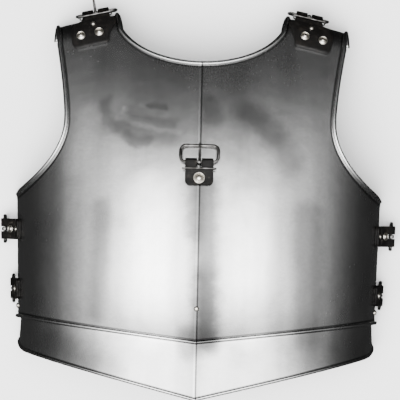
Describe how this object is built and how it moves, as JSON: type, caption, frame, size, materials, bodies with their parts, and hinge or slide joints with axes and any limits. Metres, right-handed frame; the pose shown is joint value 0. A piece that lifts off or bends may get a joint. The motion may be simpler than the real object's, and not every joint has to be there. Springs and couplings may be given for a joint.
{
  "type": "steel breastplate",
  "caption": "Breastplate with a sharp medial ridge, turned edges, a pointed waist lame and leather buckle straps at chest, shoulders and sides.",
  "frame": {"origin": "under the middle of the whole, on the surface it lies on", "axes": "+X across to the right as seen from the front, +Y up the body to the neck, +Z out of the chest; it lies on its back, and node names say left and right as seen from the front"},
  "size_m": [0.4394, 0.447, 0.147],
  "materials": {
    "steel": "brushed plate with soft streaks and faint stains",
    "dark_steel": "dark satin wire",
    "rivet_steel": "domed head, worn bright",
    "leather": "black, matt, with a lighter cut edge"
  },
  "bodies": {
    "plate": {"breastplate": "steel", "waist_lame": "steel", "lame_centre_rivet": "rivet_steel", "lame_left_rivet": "rivet_steel", "lame_right_rivet": "rivet_steel", "chest_strap": "leather", "chest_keeper": "dark_steel", "chest_rivet": "rivet_steel", "left_shoulder_strap": "leather", "left_shoulder_keeper": "dark_steel", "left_shoulder_inner_rivet": "rivet_steel", "left_shoulder_outer_rivet": "rivet_steel", "left_shoulder_crest_rivet": "rivet_steel", "left_upper_side_strap": "leather", "left_upper_side_fold_rivet": "rivet_steel", "left_upper_side_plate_rivet": "rivet_steel", "left_lower_side_strap": "leather", "left_lower_side_rivet": "rivet_steel", "right_shoulder_strap": "leather", "right_shoulder_keeper": "dark_steel", "right_shoulder_inner_rivet": "rivet_steel", "right_shoulder_outer_rivet": "rivet_steel", "right_shoulder_crest_rivet": "rivet_steel", "right_upper_side_strap": "leather", "right_upper_side_fold_rivet": "rivet_steel", "right_upper_side_plate_rivet": "rivet_steel", "right_lower_side_strap": "leather", "right_lower_side_rivet": "rivet_steel"},
    "chest_frame": {"chest_buckle_frame": "dark_steel"},
    "chest_tongue": {"chest_buckle_tongue": "dark_steel"},
    "left_shoulder_frame": {"left_shoulder_buckle_frame": "dark_steel"},
    "left_shoulder_tongue": {"left_shoulder_buckle_tongue": "dark_steel"},
    "right_shoulder_frame": {"right_shoulder_buckle_frame": "dark_steel"},
    "right_shoulder_tongue": {"right_shoulder_buckle_tongue": "dark_steel"},
    "left_upper_side_frame": {"left_upper_side_buckle_frame": "dark_steel"},
    "left_upper_side_tongue": {"left_upper_side_buckle_tongue": "dark_steel"},
    "right_upper_side_frame": {"right_upper_side_buckle_frame": "dark_steel"},
    "right_upper_side_tongue": {"right_upper_side_buckle_tongue": "dark_steel"},
    "left_lower_side_frame": {"left_lower_side_buckle_frame": "dark_steel"},
    "left_lower_side_tongue": {"left_lower_side_buckle_tongue": "dark_steel"},
    "right_lower_side_frame": {"right_lower_side_buckle_frame": "dark_steel"},
    "right_lower_side_tongue": {"right_lower_side_buckle_tongue": "dark_steel"}
  },
  "joints": [
    {"name": "chest_frame_hinge", "type": "hinge", "parent": "plate", "child": "chest_frame", "pos_m": [0, 0.03628, 0.13688], "axis": [1, 0, 0], "range_deg": [0, 70]},
    {"name": "chest_tongue_hinge", "type": "hinge", "parent": "chest_frame", "child": "chest_tongue", "pos_m": [0, 0.03628, 0.13688], "axis": [1, 0, 0], "range_deg": [0, 60]},
    {"name": "left_shoulder_frame_hinge", "type": "hinge", "parent": "plate", "child": "left_shoulder_frame", "pos_m": [-0.1183, 0.19975, 0.04072], "axis": [0.976, 0.2062, 0.0696], "range_deg": [0, 70]},
    {"name": "left_shoulder_tongue_hinge", "type": "hinge", "parent": "left_shoulder_frame", "child": "left_shoulder_tongue", "pos_m": [-0.1183, 0.19975, 0.04072], "axis": [0.976, 0.2062, 0.0696], "range_deg": [-70, 10]},
    {"name": "right_shoulder_frame_hinge", "type": "hinge", "parent": "plate", "child": "right_shoulder_frame", "pos_m": [0.1183, 0.19975, 0.04072], "axis": [0.976, -0.2062, -0.0696], "range_deg": [0, 70]},
    {"name": "right_shoulder_tongue_hinge", "type": "hinge", "parent": "right_shoulder_frame", "child": "right_shoulder_tongue", "pos_m": [0.1183, 0.19975, 0.04072], "axis": [0.976, -0.2062, -0.0696], "range_deg": [0, 60]},
    {"name": "left_upper_side_frame_hinge", "type": "hinge", "parent": "plate", "child": "left_upper_side_frame", "pos_m": [-0.21527, -0.04135, 0.02131], "axis": [-0.0302, 0.9995, 0], "range_deg": [0, 70]},
    {"name": "left_upper_side_tongue_hinge", "type": "hinge", "parent": "left_upper_side_frame", "child": "left_upper_side_tongue", "pos_m": [-0.21527, -0.04135, 0.02131], "axis": [-0.0302, 0.9995, 0], "range_deg": [0, 60]},
    {"name": "right_upper_side_frame_hinge", "type": "hinge", "parent": "plate", "child": "right_upper_side_frame", "pos_m": [0.21527, -0.04135, 0.02131], "axis": [-0.0302, -0.9995, 0], "range_deg": [0, 70]},
    {"name": "right_upper_side_tongue_hinge", "type": "hinge", "parent": "right_upper_side_frame", "child": "right_upper_side_tongue", "pos_m": [0.21527, -0.04135, 0.02131], "axis": [-0.0302, -0.9995, 0], "range_deg": [0, 60]},
    {"name": "left_lower_side_frame_hinge", "type": "hinge", "parent": "plate", "child": "left_lower_side_frame", "pos_m": [-0.20355, -0.10735, 0.02004], "axis": [-0.0314, 0.9995, 0], "range_deg": [0, 70]},
    {"name": "left_lower_side_tongue_hinge", "type": "hinge", "parent": "left_lower_side_frame", "child": "left_lower_side_tongue", "pos_m": [-0.20355, -0.10735, 0.02004], "axis": [-0.0314, 0.9995, 0], "range_deg": [0, 60]},
    {"name": "right_lower_side_frame_hinge", "type": "hinge", "parent": "plate", "child": "right_lower_side_frame", "pos_m": [0.20355, -0.10735, 0.02004], "axis": [-0.0314, -0.9995, 0], "range_deg": [0, 70]},
    {"name": "right_lower_side_tongue_hinge", "type": "hinge", "parent": "right_lower_side_frame", "child": "right_lower_side_tongue", "pos_m": [0.20355, -0.10735, 0.02004], "axis": [-0.0314, -0.9995, 0], "range_deg": [0, 60]}
  ]
}
